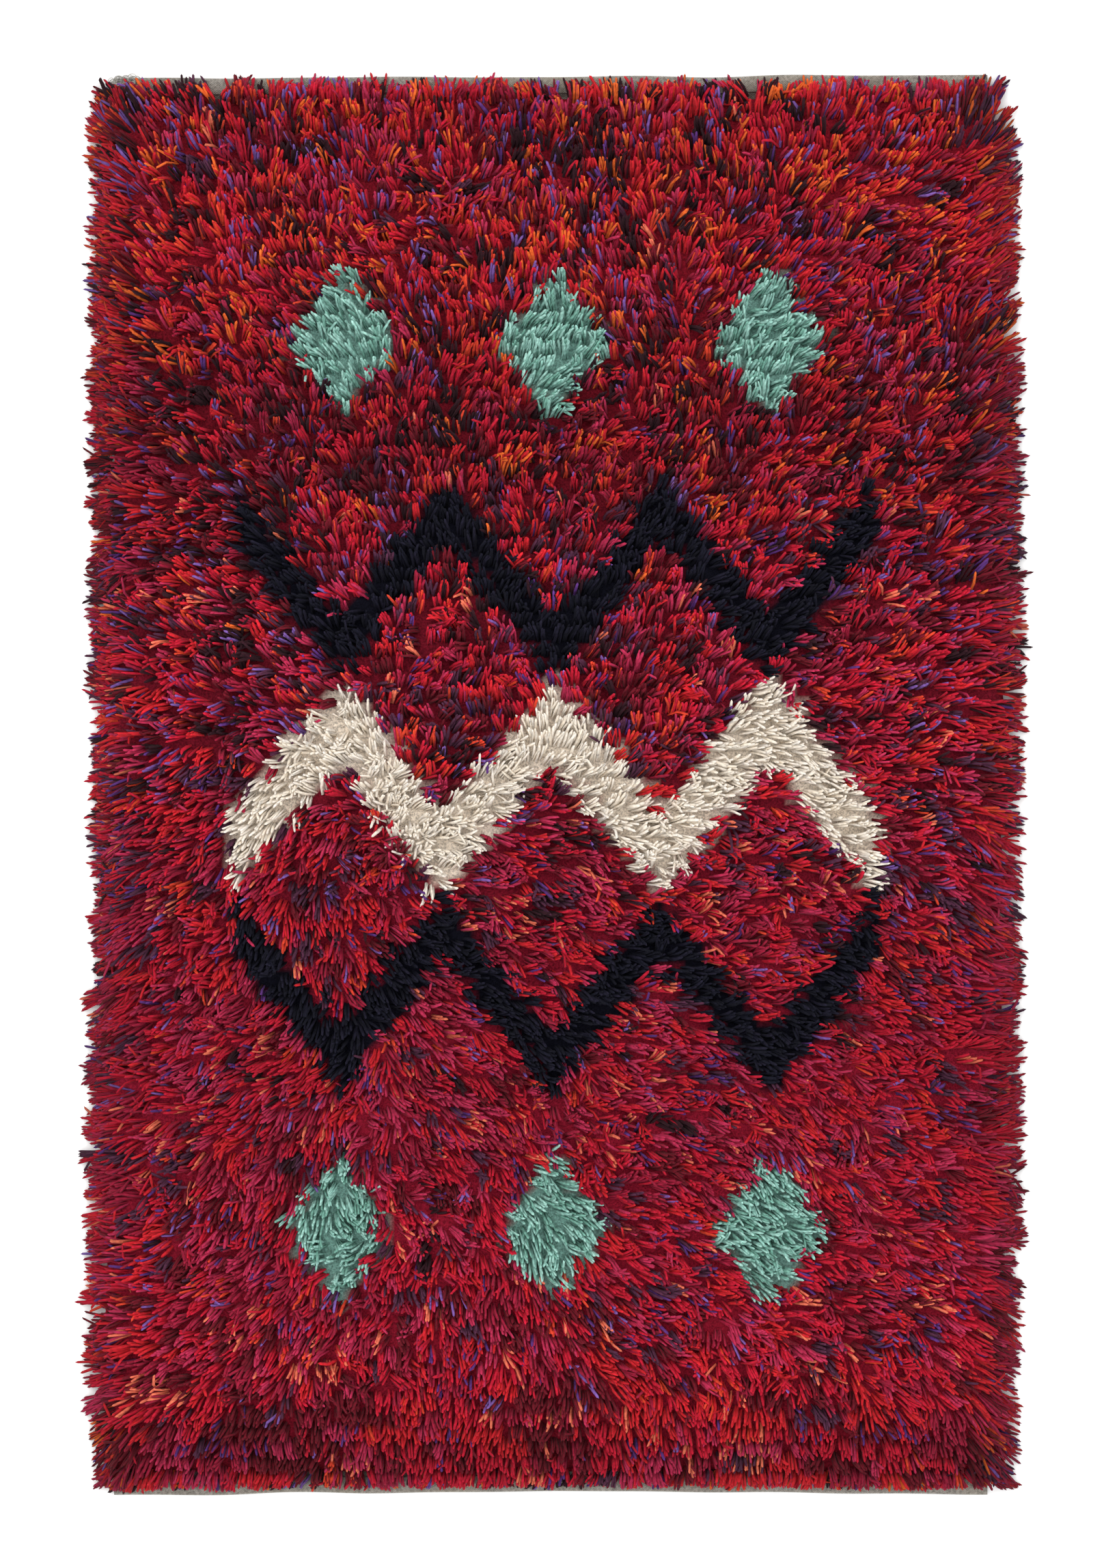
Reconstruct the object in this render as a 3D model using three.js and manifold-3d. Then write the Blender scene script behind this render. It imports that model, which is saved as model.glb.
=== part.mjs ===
// A rya rug lying flat: a woven ground cloth with a turned hem at each end, and the long
// knotted wool pile that covers all of it but the hems and hangs over its two sides.
// Millimetres, +Z up from the floor, +Y towards the head end, +X to the right.
import * as THREE from 'three';
import { mergeVertices } from 'three/addons/utils/BufferGeometryUtils.js';
import Module from 'manifold-3d';

// Driving dimensions
const CLOTH_LEFT = 420.5;
const CLOTH_RIGHT = 410.5;
const CLOTH_THICKNESS = 2.2;
const HEM_THICKNESS = 3.8;
const HEM_DEPTH = 15;
const FOLD_ROUNDING = 1.1;
const PIECE_GAP = 0.3;
const KNOT_PITCH = 9.7;
const PILE_HEIGHT = 24;
const RIM_HEIGHT = 10;
const RIM_ROUNDING = 34;
const CLOTH_SIDE_GAP = 1.5;
const HEM_GAP = 1;
const SIDE_LOCK_REACH = 11;
const END_LOCK_REACH = 9;
const CORNER_LOCK_REACH = 12.1;
const LOCK_ROOT_DEPTH = 13;
const LOCK_ROOT_LIFT = 1.2;
const LOCK_ROOT_HEIGHT = 10;
const LOCK_TIP_HEIGHT = 4;
const LOCK_WIDTH = 17;
const LOCK_TIP_SHARE = 0.4;
const SIDE_LOCK_PITCH = 16.5;
const FLOOR_CLEARANCE = 0.3;

// How far the locks differ: in length in millimetres, in heading in radians, and in width and
// height as shares
const SIDE_REACH_SPREAD = 6;
const END_REACH_SPREAD = 3.5;
const CORNER_REACH_SPREAD = 3;
const SIDE_HEADING_SPREAD = 0.3;
const END_HEADING_SPREAD = 0.35;
const CORNER_HEADING_SPREAD = 0.12;
const WIDTH_SPREAD = 0.25;
const HEIGHT_SPREAD = 0.2;

// Headings of the locks in radians: side locks turn towards the ends, and so do corner locks
const SIDE_COMBING = 0.45;
const CORNER_HEADING = 0.8;
const CORNER_HEADING_STEP = 0.17;

// Ends of the cloth, measured from its middle, at places from the left side (-1) to the right (1)
const END_SECTIONS = [
  { across: -1.0, head: 673.6, foot: 676.4 },
  { across: -0.5, head: 674.0, foot: 673.6 },
  { across: 0.0, head: 674.8, foot: 672.2 },
  { across: 0.5, head: 675.8, foot: 673.4 },
  { across: 1.0, head: 676.4, foot: 675.2 },
];

// How far the outermost locks reach at the sides, at places from the foot (-1) to the head (1)
const SIDE_SECTIONS = [
  { along: -1.0, left: 443, right: 440 },
  { along: -0.75, left: 447, right: 439 },
  { along: -0.5, left: 446, right: 442 },
  { along: -0.2, left: 438, right: 442 },
  { along: 0.05, left: 440, right: 444 },
  { along: 0.35, left: 439, right: 444 },
  { along: 0.65, left: 440, right: 442 },
  { along: 1.0, left: 444, right: 437 },
];

// Height waves of the pile, each with the length and turn of its crests on the floor
const LUMP_WAVES = [
  { length: 118, turn: 0.5, height: 1.2, start: 0.4 },
  { length: 83, turn: 2.2, height: 1.3, start: 1.9 },
  { length: 61, turn: 1.3, height: 1.1, start: 3.1 },
];
const CLUMP_HEIGHT = 8.5;
const RIM_LUMP_SHARE = 0.3;
const MASS_SEED = 7;
const LOCK_SEED = 23;

const PILE_COLUMNS = 36;
const PILE_ROWS = 52;
const END_ROW_SHARE = 0.45;
const CLOTH_COLUMNS = 18;
const CLOTH_HALF_LENGTH = 674;
const CORNER_LOCKS = 4;
const CORNER_LOCK_START = 4;
const CORNER_INSET = 5;
const CORNER_LENGTH = 34;

// One repeatable run of numbers from 0 to 1
function numberRun(seed) {
  let state = seed;
  return () => {
    state = (state * 1664525 + 1013904223) % 4294967296;
    return state / 4294967296;
  };
}

// A number within spread of middle
function about(next, middle, spread) {
  return middle + (2 * next() - 1) * spread;
}

// The value of one column of a table of sections at a place, on smooth steps between its rows
function sectionValue(sections, place, placeName, valueName) {
  const last = sections.length - 1;
  const clamped = THREE.MathUtils.clamp(place, sections[0][placeName], sections[last][placeName]);
  const above = Math.max(1, sections.findIndex((row) => row[placeName] >= clamped));
  const low = sections[above - 1];
  const high = sections[above];
  const share = THREE.MathUtils.smoothstep(clamped, low[placeName], high[placeName]);
  return THREE.MathUtils.lerp(low[valueName], high[valueName], share);
}

function endAt(x, end) {
  return sectionValue(END_SECTIONS, x / CLOTH_LEFT, 'across', end);
}

function sideAt(y, side) {
  return sectionValue(SIDE_SECTIONS, y / CLOTH_HALF_LENGTH, 'along', side);
}

// A closed mesh from points and triangles of their numbers
function closedGeometry(points, triangles) {
  const geometry = new THREE.BufferGeometry();
  geometry.setAttribute('position', new THREE.Float32BufferAttribute(points.flat(), 3));
  geometry.setIndex(triangles.flat());
  return geometry;
}

// Triangles between two rows of point numbers; the new faces look to the left of the way along low
function stripBetween(low, high) {
  const triangles = [];
  for (let i = 0; i + 1 < low.length; i++) {
    triangles.push([low[i], low[i + 1], high[i + 1]], [low[i], high[i + 1], high[i]]);
  }
  return triangles;
}

// Triangles that fill a flat loop of point numbers, which runs anticlockwise in the two named axes
function fillLoop(points, loop, axisA, axisB) {
  const contour = loop.map((n) => new THREE.Vector2(points[n][axisA], points[n][axisB]));
  return THREE.ShapeUtils.triangulateShape(contour, []).map((face) => face.map((k) => loop[k]));
}

// Ground cloth: one section along the rug, hem to hem, carried across its width
function clothSection(x) {
  const head = endAt(x, 'head');
  const foot = -endAt(x, 'foot');
  const round = FOLD_ROUNDING;
  return [
    [foot + round, 0],
    [head - round, 0],
    [head, round],
    [head, HEM_THICKNESS - round],
    [head - round, HEM_THICKNESS],
    [head - HEM_DEPTH, HEM_THICKNESS],
    [head - HEM_DEPTH, CLOTH_THICKNESS],
    [foot + HEM_DEPTH, CLOTH_THICKNESS],
    [foot + HEM_DEPTH, HEM_THICKNESS],
    [foot + round, HEM_THICKNESS],
    [foot, HEM_THICKNESS - round],
    [foot, round],
  ];
}

function groundCloth() {
  const points = [];
  const rings = [];
  for (let c = 0; c <= CLOTH_COLUMNS; c++) {
    const x = THREE.MathUtils.lerp(-CLOTH_LEFT, CLOTH_RIGHT, c / CLOTH_COLUMNS);
    const section = clothSection(x);
    rings.push(section.map((_, k) => points.length + k));
    section.forEach(([y, z]) => points.push([x, y, z]));
  }
  const triangles = [];
  for (let c = 0; c < CLOTH_COLUMNS; c++) {
    const near = [...rings[c], rings[c][0]];
    const far = [...rings[c + 1], rings[c + 1][0]];
    triangles.push(...stripBetween(near, far));
  }
  const [leftCap, rightCap] = [rings[0], rings[CLOTH_COLUMNS]].map((r) => fillLoop(points, r, 1, 2));
  triangles.push(...leftCap.map(([a, b, c]) => [a, c, b]), ...rightCap);
  return closedGeometry(points, triangles);
}

// Where the underside of the pile leaves the cloth to drop to the floor, at the left and right
const DROP_LEFT = -(CLOTH_LEFT + CLOTH_SIDE_GAP);
const DROP_RIGHT = CLOTH_RIGHT + CLOTH_SIDE_GAP;
const PILE_UNDERSIDE = CLOTH_THICKNESS + PIECE_GAP;

// The edge of the pile's mass at a side; it is drawn in at the corners
function rimAt(y, side) {
  const toEnd = CLOTH_HALF_LENGTH - HEM_DEPTH - Math.abs(y);
  const corner = THREE.MathUtils.clamp(1 - toEnd / CORNER_LENGTH, 0, 1);
  return sideAt(y, side) - SIDE_LOCK_REACH - CORNER_INSET * corner * corner;
}

// The end of the pile's mass, just short of the hem
function pileEndAt(x, end) {
  return endAt(x, end) - HEM_DEPTH - HEM_GAP;
}

// Columns of the pile's grid at one row: the left rim, the two lines where it leaves the cloth
// with even columns between them, and the right rim
function pileColumn(c, y) {
  if (c === 0) return -rimAt(y, 'left');
  if (c === PILE_COLUMNS) return rimAt(y, 'right');
  return THREE.MathUtils.lerp(DROP_LEFT, DROP_RIGHT, (c - 1) / (PILE_COLUMNS - 2));
}

// Rows of the pile's grid: narrower next to the two ends, even between them
function pileRowShare(r) {
  const rowsInAll = PILE_ROWS - 2 + 2 * END_ROW_SHARE;
  return THREE.MathUtils.clamp((r - 1 + END_ROW_SHARE) / rowsInAll, 0, 1);
}

// Soft waves and clumps of the combed pile
function lumpHeight(x, y, clump) {
  const waves = LUMP_WAVES.map(({ length, turn, height, start }) => {
    const crossing = x * Math.cos(turn) + y * Math.sin(turn);
    return height * Math.sin((2 * Math.PI * crossing) / length + start);
  });
  return waves.reduce((sum, wave) => sum + wave, 0) + CLUMP_HEIGHT * (clump - 0.5);
}

function pileHeight(x, y, fromRim, clump) {
  const rounded = Math.sin((Math.PI / 2) * THREE.MathUtils.clamp(fromRim / RIM_ROUNDING, 0, 1));
  const crown = THREE.MathUtils.lerp(RIM_HEIGHT, PILE_HEIGHT, rounded);
  const lumps = lumpHeight(x, y, clump);
  return crown + lumps * THREE.MathUtils.lerp(RIM_LUMP_SHARE, 1, rounded);
}

// The mass of the pile: a lumpy top, a short wall round the rim, and an underside that is flat
// over the cloth and drops to the floor beyond its two sides
function pileMass() {
  const next = numberRun(MASS_SEED);
  const points = [];
  const top = [];
  for (let r = 0; r <= PILE_ROWS; r++) {
    const share = pileRowShare(r);
    top.push([]);
    for (let c = 0; c <= PILE_COLUMNS; c++) {
      const x = pileColumn(c, THREE.MathUtils.lerp(-1, 1, share) * (CLOTH_HALF_LENGTH - HEM_DEPTH));
      const y = THREE.MathUtils.lerp(-pileEndAt(x, 'foot'), pileEndAt(x, 'head'), share);
      const fromSide = Math.min(x + rimAt(y, 'left'), rimAt(y, 'right') - x);
      const fromEnd = Math.min(y + pileEndAt(x, 'foot'), pileEndAt(x, 'head') - y);
      const height = pileHeight(x, y, Math.max(0, Math.min(fromSide, fromEnd)), next());
      top[r].push(points.length);
      points.push([x, y, height]);
    }
  }
  const sideColumns = [0, 1, PILE_COLUMNS - 1, PILE_COLUMNS];
  const under = top.map((row, r) => row.map((n, c) => {
    if (r > 0 && r < PILE_ROWS && !sideColumns.includes(c)) return null;
    const dropped = c === 0 || c === PILE_COLUMNS;
    points.push([points[n][0], points[n][1], dropped ? FLOOR_CLEARANCE : PILE_UNDERSIDE]);
    return points.length - 1;
  }));
  const column = (grid, c) => grid.map((row) => row[c]);
  const triangles = [];
  for (let r = 0; r < PILE_ROWS; r++) triangles.push(...stripBetween(top[r], top[r + 1]));
  for (const [low, high] of [[0, 1], [PILE_COLUMNS - 1, PILE_COLUMNS]]) {
    triangles.push(...stripBetween(column(under, low), column(under, high)));
  }
  triangles.push(...stripBetween(under[0], top[0]));
  triangles.push(...stripBetween(top[PILE_ROWS], under[PILE_ROWS]));
  triangles.push(...stripBetween(column(top, 0), column(under, 0)));
  triangles.push(...stripBetween(column(under, PILE_COLUMNS), column(top, PILE_COLUMNS)));
  const middle = [
    ...under[0].slice(1, PILE_COLUMNS),
    ...column(under, PILE_COLUMNS - 1).slice(1, PILE_ROWS),
    ...under[PILE_ROWS].slice(1, PILE_COLUMNS).reverse(),
    ...column(under, 1).slice(1, PILE_ROWS).reverse(),
  ];
  triangles.push(...fillLoop(points, middle, 0, 1).map(([a, b, c]) => [a, c, b]));
  return closedGeometry(points, triangles);
}

// A lock of yarn ends: a tapering three-sided strand, flat side down, through stations that each
// have the middle of its underside, its width and its height
function lockGeometry(stations, heading) {
  const side = new THREE.Vector2(-Math.sin(heading), Math.cos(heading));
  const points = stations.flatMap(({ at, width, height }) => [
    [at.x - (side.x * width) / 2, at.y - (side.y * width) / 2, at.z],
    [at.x + (side.x * width) / 2, at.y + (side.y * width) / 2, at.z],
    [at.x, at.y, at.z + height],
  ]);
  const triangles = [[0, 2, 1]];
  for (let s = 0; s + 1 < stations.length; s++) {
    const ring = [0, 1, 2, 0].map((k) => 3 * s + k);
    triangles.push(...stripBetween(ring, ring.map((n) => n + 3)));
  }
  const tip = 3 * (stations.length - 1);
  triangles.push([tip, tip + 1, tip + 2]);
  return closedGeometry(points, triangles);
}

// A lock rooted inside the pile at rim, which leaves it along heading and lies on what is at
// restHeight, the floor or the hem
function rimLock(rim, heading, reach, restHeight, next) {
  const way = new THREE.Vector3(Math.cos(heading), Math.sin(heading), 0);
  const station = (distance, z, width, height) => ({
    at: rim.clone().addScaledVector(way, distance).setZ(z),
    width,
    height,
  });
  const varied = (middle, share) => about(next, middle, share * middle);
  const width = varied(LOCK_WIDTH, WIDTH_SPREAD);
  const rootZ = Math.max(restHeight, PILE_UNDERSIDE) + LOCK_ROOT_LIFT;
  return lockGeometry([
    station(-LOCK_ROOT_DEPTH, rootZ, width, varied(LOCK_ROOT_HEIGHT, HEIGHT_SPREAD)),
    station(reach, restHeight, LOCK_TIP_SHARE * width, varied(LOCK_TIP_HEIGHT, HEIGHT_SPREAD)),
  ], heading);
}

// Evenly set locks at both sides; the pile is combed away from the middle
function sideLocks(next) {
  const count = Math.floor((2 * (CLOTH_HALF_LENGTH - HEM_DEPTH) - CORNER_LENGTH) / SIDE_LOCK_PITCH);
  const locks = [];
  for (let k = 0; k < count; k++) {
    const y = (k - (count - 1) / 2) * SIDE_LOCK_PITCH;
    const combing = SIDE_COMBING * (y / CLOTH_HALF_LENGTH);
    for (const side of ['left', 'right']) {
      const outward = side === 'left' ? Math.PI - combing : combing;
      const heading = about(next, outward, SIDE_HEADING_SPREAD);
      const reach = about(next, SIDE_LOCK_REACH, SIDE_REACH_SPREAD);
      const x = side === 'left' ? -rimAt(y, side) : rimAt(y, side);
      locks.push(rimLock(new THREE.Vector3(x, y, 0), heading, reach, FLOOR_CLEARANCE, next));
    }
  }
  return locks;
}

// One lock for every second knot at both ends, lying over the hem
function endLocks(next) {
  const knots = Math.floor((DROP_RIGHT - DROP_LEFT - 2 * KNOT_PITCH) / (2 * KNOT_PITCH));
  const locks = [];
  for (let k = 0; k <= knots; k++) {
    const x = DROP_LEFT + KNOT_PITCH + 2 * KNOT_PITCH * k;
    for (const end of ['head', 'foot']) {
      const sense = end === 'head' ? 1 : -1;
      const heading = about(next, (sense * Math.PI) / 2, END_HEADING_SPREAD);
      const reach = about(next, END_LOCK_REACH, END_REACH_SPREAD);
      const rim = new THREE.Vector3(x, sense * pileEndAt(x, end), 0);
      locks.push(rimLock(rim, heading, reach, HEM_THICKNESS + PIECE_GAP, next));
    }
  }
  return locks;
}

// A fan of locks at each corner, out past the cloth and down to the floor
function cornerLocks(next) {
  const locks = [];
  for (const side of ['left', 'right']) {
    for (const end of ['head', 'foot']) {
      const sense = end === 'head' ? 1 : -1;
      for (let k = 0; k < CORNER_LOCKS; k++) {
        const fromHem = CORNER_LOCK_START + (k * CORNER_LENGTH) / (2 * CORNER_LOCKS);
        const y = sense * (CLOTH_HALF_LENGTH - HEM_DEPTH - fromHem);
        const x = side === 'left' ? -rimAt(y, side) : rimAt(y, side);
        const turn = sense * about(next, CORNER_HEADING - CORNER_HEADING_STEP * k, CORNER_HEADING_SPREAD);
        const heading = side === 'left' ? Math.PI - turn : turn;
        const reach = about(next, CORNER_LOCK_REACH, CORNER_REACH_SPREAD);
        locks.push(rimLock(new THREE.Vector3(x, y, 0), heading, reach, FLOOR_CLEARANCE, next));
      }
    }
  }
  return locks;
}

const wasm = await Module();
wasm.setup();

function toManifold(geometry) {
  const merged = mergeVertices(geometry);
  return new wasm.Manifold(new wasm.Mesh({
    numProp: 3,
    vertProperties: new Float32Array(merged.attributes.position.array),
    triVerts: new Uint32Array(merged.index.array),
  }));
}

// The pile: its mass with every rim lock fused to it at the root
function pile() {
  const next = numberRun(LOCK_SEED);
  const locks = [...sideLocks(next), ...endLocks(next), ...cornerLocks(next)];
  const whole = locks.reduce((solid, lock) => solid.add(toManifold(lock)), toManifold(pileMass()));
  const { vertProperties, triVerts } = whole.getMesh();
  const geometry = new THREE.BufferGeometry();
  geometry.setAttribute('position', new THREE.BufferAttribute(vertProperties, 3));
  geometry.setIndex(new THREE.BufferAttribute(triVerts, 1));
  return geometry;
}

function namedMesh(name, geometry, material) {
  const mesh = new THREE.Mesh(geometry, material);
  mesh.name = name;
  return mesh;
}

const linenGrey = new THREE.MeshStandardMaterial({ color: 0x8c8a7d, roughness: 0.95, metalness: 0 });
const redWool = new THREE.MeshStandardMaterial({ color: 0x8f1c2c, roughness: 0.9, metalness: 0 });

const rug = new THREE.Group();
rug.add(namedMesh('ground_cloth', groundCloth(), linenGrey));
rug.add(namedMesh('pile', pile(), redWool));

// The origin is on the floor under the middle of the whole rug
const middle = new THREE.Box3().setFromObject(rug).getCenter(new THREE.Vector3());
rug.position.set(-middle.x, -middle.y, 0);
rug.updateMatrixWorld(true);

export default rug;
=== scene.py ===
"""A rya rug lying on a pale floor: a woven ground cloth with a turned hem at each end, and a
combed pile of loose ends of 2-ply wool yarn, knotted through it in rows."""
import math

import bpy
import numpy as np
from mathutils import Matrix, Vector


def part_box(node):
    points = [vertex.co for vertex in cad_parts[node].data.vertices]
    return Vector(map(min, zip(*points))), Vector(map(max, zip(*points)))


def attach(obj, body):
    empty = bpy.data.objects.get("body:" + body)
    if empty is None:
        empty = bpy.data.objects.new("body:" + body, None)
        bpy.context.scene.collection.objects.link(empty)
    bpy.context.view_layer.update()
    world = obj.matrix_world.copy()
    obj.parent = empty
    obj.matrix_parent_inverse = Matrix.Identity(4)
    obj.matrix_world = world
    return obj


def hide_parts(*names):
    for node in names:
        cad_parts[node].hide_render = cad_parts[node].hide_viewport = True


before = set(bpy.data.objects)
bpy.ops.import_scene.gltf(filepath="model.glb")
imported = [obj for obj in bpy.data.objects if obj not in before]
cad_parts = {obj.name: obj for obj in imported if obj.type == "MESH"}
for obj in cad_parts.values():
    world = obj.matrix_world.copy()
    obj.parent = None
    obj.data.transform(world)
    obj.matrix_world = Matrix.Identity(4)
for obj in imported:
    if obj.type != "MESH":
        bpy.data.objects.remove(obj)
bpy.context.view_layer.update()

MM = 0.001
CLOTH_LOW, CLOTH_HIGH = (np.array(corner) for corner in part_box("ground_cloth"))
# Half sizes that places on the rug are shares of, counted from its middle
HALF_WIDTH = 420.5 * MM
HALF_LENGTH = 674 * MM
PILE_HALF_WIDTH = 440 * MM
MIDDLE_X = CLOTH_LOW[0] + HALF_WIDTH

# The pile
ROW_PITCH = 14.2 * MM
KNOT_PITCH = 9.7 * MM
KNOT_ROWS = 92
LEFT_MARGIN = 8 * MM
RIGHT_MARGIN = 2 * MM
KNOT_JITTER = 1.3 * MM
KNOT_WIDTH = 8.4 * MM
ENDS_A_KNOT = 7
# A knot's ends stand in two rows, at most this many abreast. The row nearer the head stands
# this far behind the other one, and this much steeper in radians
ENDS_ABREAST = 4
LAYER_GAP = 4 * MM
LAYER_LEAN = 0.20
END_JITTERS = {"across": 0.5 * MM, "along": 0.8 * MM}
# Knots at the rim and where the pile parts have more ends. It parts where the leaning ends
# cover more floor than their knots do, by more than this share
MORE_ENDS = 7
RIM_DEPTH = 48 * MM
END_ROW_DEPTH = 34 * MM
LEANING_REACH = 18 * MM
PARTED = 0.62
PARTING_STEP = 8 * MM
# How much further the ends at the side rims reach, and over which shares of the half width that
# sets in; and how much further those of the last rows reach
RIM_GAINS = {"left": 0.32, "right": 0.40}
RIM_ZONE = (0.90, 0.96)
END_ROW_GAIN = 0.06
# Ends at the side rims that turn off the combing are trimmed shorter, by up to this, so that
# each row ends in a pointed tuft
RIM_TAPER = 11 * MM
TAPER_ANGLE = 0.3
# How far inside its outline the pile is trimmed, and how much that varies from knot to knot and
# from end to end. At the sides the line is outside it
SIDE_TRIM = -6 * MM
END_TRIM = {"head": 4.5 * MM, "foot": 6 * MM}
TRIM_UNEVEN = 3.2 * MM
END_TRIM_SPREAD = 3 * MM
# An end's tip is taken to be at least this far from its root when it is trimmed
LEAST_SPAN = 1 * MM
# The pile is worn short round the head's two corners
WORN_CORNER = 24 * MM
WORN_SHARES = {"left": 0.55, "right": 0.25}
# Ends that take a knot's second yarn, each with the share of knots in which it doesn't
SECOND_YARN_ENDS = {1: 0.0, 5: 0.25, 2: 0.5, 6: 0.75}
YARN_RADIUS = 1.6 * MM
RADIUS_SPREAD = 0.08
YARN_LENGTH = 31.5 * MM
TWIST_PITCH = 7 * MM
# How steeply an end rises at its root and at its tip, in radians, how soon it bends over from
# one to the other, and how its curl gathers towards the tip
ROOT_ANGLE = 1.2
TIP_ANGLE = 0.88
SPRING = 2.0
CURL_POWER = 1.5
# Ends lie flatter near the sides: by this share up to the first depth, not at all from the second
FLATTENING = 0.62
FLAT_DEPTHS = (36 * MM, 70 * MM)
# Extra ends in the last rows lie flatter by this share
HEM_FLATTENING = 0.75
# The rise that an end comes near but doesn't pass, before the pile's lumps are added
TALLEST = 44 * MM
# An end's path has this many steps. Some of them have a ring of points, each with its width as
# a share of the yarn's
PATH_STEPS = 16
RING_STEPS = [4, 10, 15]
RING_WIDTHS = [0.88, 1.08, 0.84]
STRAND_SIDES = 3
# The pile's rounded shoulder: its width at the sides and at the ends, its height at the edge as
# a share of the pile's, and the power of its curve
SIDE_SLOPE = 42 * MM
END_SLOPE = 30 * MM
EDGE_HEIGHT = 0.10
SHOULDER_POWER = 0.7
# How unlike one another the knots are, and the ends of one knot: spreads of their heading, of
# the tilt of their tips and of their curl in radians, and of their reach as a share
KNOT_SPREADS = {"heading": 0.24, "tilt": 0.13, "reach": 0.07, "curl": 0.34}
END_SPREADS = {"heading": 0.12, "tilt": 0.09, "reach": 0.08, "curl": 0.24}
LAST_ROW_REACH_SPREAD = 0.06
# Headings spread this much more where the combing is weakest, and ends lean less there
PARTED_SPREAD = 1.1
PARTED_POWER = 1.3
LEAST_PULL = 0.05
LEAST_LEAN = 0.6
LEAN_GAIN = 0.5
# The rows near the foot are combed straighter and trimmed more evenly, which sets in over these
# shares of the half length, and the pile's rim is combed straighter too
FOOT_ORDER = 0.3
FOOT_TRIM_ORDER = 0.65
FOOT_ZONE = (0.84, 0.90)
RIM_ORDER = 0.6
# The share of knots that are trimmed less, and how much less
LONG_TUFTS = 0.12
LONG_TUFT_GAIN = 5 * MM
# How much the pile's lumps move its trim and, as a share, its height
LUMP_TRIM = 1.2 * MM
LUMP_RISE = 0.08
# The share of ends that stray, and how much more these curl, turn and reach
STRAYS = 0.03
STRAY_CURL = 1.0
STRAY_HEADING = 0.5
STRAY_REACH = 1.1
# Extra ends turn further, above all where the pile parts, and lie lower there. They are up to
# this share shorter, and have the yarn of a knot this many rows nearer the foot, counted round
EXTRA_HEADINGS = {"parted": 1.6, "rim": 0.15}
PARTED_DROP = 0.25
EXTRA_SHORTENING = 0.22
EXTRA_YARN_ROWS = 5
# The long dark lock at the head's left corner
CORNER_LOCK = {"ends": 5, "from_side": 13 * MM, "from_end": 34 * MM, "spread": 2 * MM,
               "heading": 2.6, "heading_spread": 0.06, "tilt": 0.2, "reach": 0.5,
               "reach_spread": 0.12, "curl": -0.95, "trim": -20 * MM}
# The matted layer at the foot of the pile. Near the rug's ends it is lower: it has this share
# of its height up to the first depth, and all of it from the second
BASE_HEIGHT = 7.5 * MM
BASE_CLEARANCE = 0.3 * MM
BASE_INSET = 19 * MM
BASE_END_INSET = 6 * MM
BASE_END_SHARE = 0.25
BASE_END_DEPTHS = (22 * MM, 42 * MM)
BASE_GRID = (66, 100)
BASE_LUMPS = 0.14
BASE_WAVE = 1.5 * MM

# The ground cloth
CLOTH_TOP = 2.0 * MM
HEM_DEPTH = 15 * MM
HEM_TOP = CLOTH_HIGH[2]
HEM_RIPPLE = 0.45 * MM
HEM_PUCKER = 0.12 * MM
HEM_PUCKER_PLACE = 4 * MM
HEM_EDGE = 1 * MM
HEM_EDGE_DROP = 0.1 * MM
FOLD_GAP = 0.04 * MM
# Places on one wave field that ripple the two hems and pucker their tops
RIPPLE_LENGTH = 110 * MM
RIPPLE_PLACES = {"head": 0.0, "foot": 0.7, "top": 0.3}
# The pile's rest steps down from the cloth to the floor, and up onto a hem, between these
# places, which are measured outwards from the edge of the cloth
OFF_CLOTH = (1 * MM, 6 * MM)
ONTO_HEM = (-HEM_DEPTH - 4 * MM, -HEM_DEPTH + 1 * MM)
CLOTH_COLOURS = {"dark": (112, 108, 101), "light": (168, 163, 154), "stained": (140, 128, 100)}
WARP_PITCH = 2.4 * MM
WEFT_PITCH = 1.7 * MM
CLOTH_COLUMNS = 110
CLOTH_ROWS = 40
HEM_TURN_STEPS = 9
FRAY_COUNT = 90
FRAY_RINGS = 9
FRAY_RADIUS = 0.36 * MM
FRAY_CLEARANCE = 0.4 * MM
FRAY_COLOUR = (186, 183, 176)
# Ranges that the frayed threads are drawn from, in millimetres, degrees, radians and shares
FRAY_RANGES = {"from_side": (-1, 19), "from_end": (3, 9), "heading": (60, 200), "bend": (3.0, 7.0),
               "length": (7, 19), "height": (0.6, 3.4), "shade": (0.8, 1.25)}

# Ends of the cloth, from the left side (-1) to the right (1), measured from the rug's middle
END_SECTIONS = np.array([
    (-1.0, 673.6, 676.4),
    (-0.5, 674.0, 673.6),
    (0.0, 674.8, 672.2),
    (0.5, 675.8, 673.4),
    (1.0, 676.4, 675.2),
], dtype=[("across", float), ("head", float), ("foot", float)])

# How far the outermost yarn ends reach at the sides, from the foot (-1) to the head (1)
SIDE_SECTIONS = np.array([
    (-1.0, 443, 440),
    (-0.75, 447, 439),
    (-0.5, 446, 442),
    (-0.2, 438, 442),
    (0.05, 440, 444),
    (0.35, 439, 444),
    (0.65, 440, 442),
    (1.0, 444, 437),
], dtype=[("along", float), ("left", float), ("right", float)])

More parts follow.
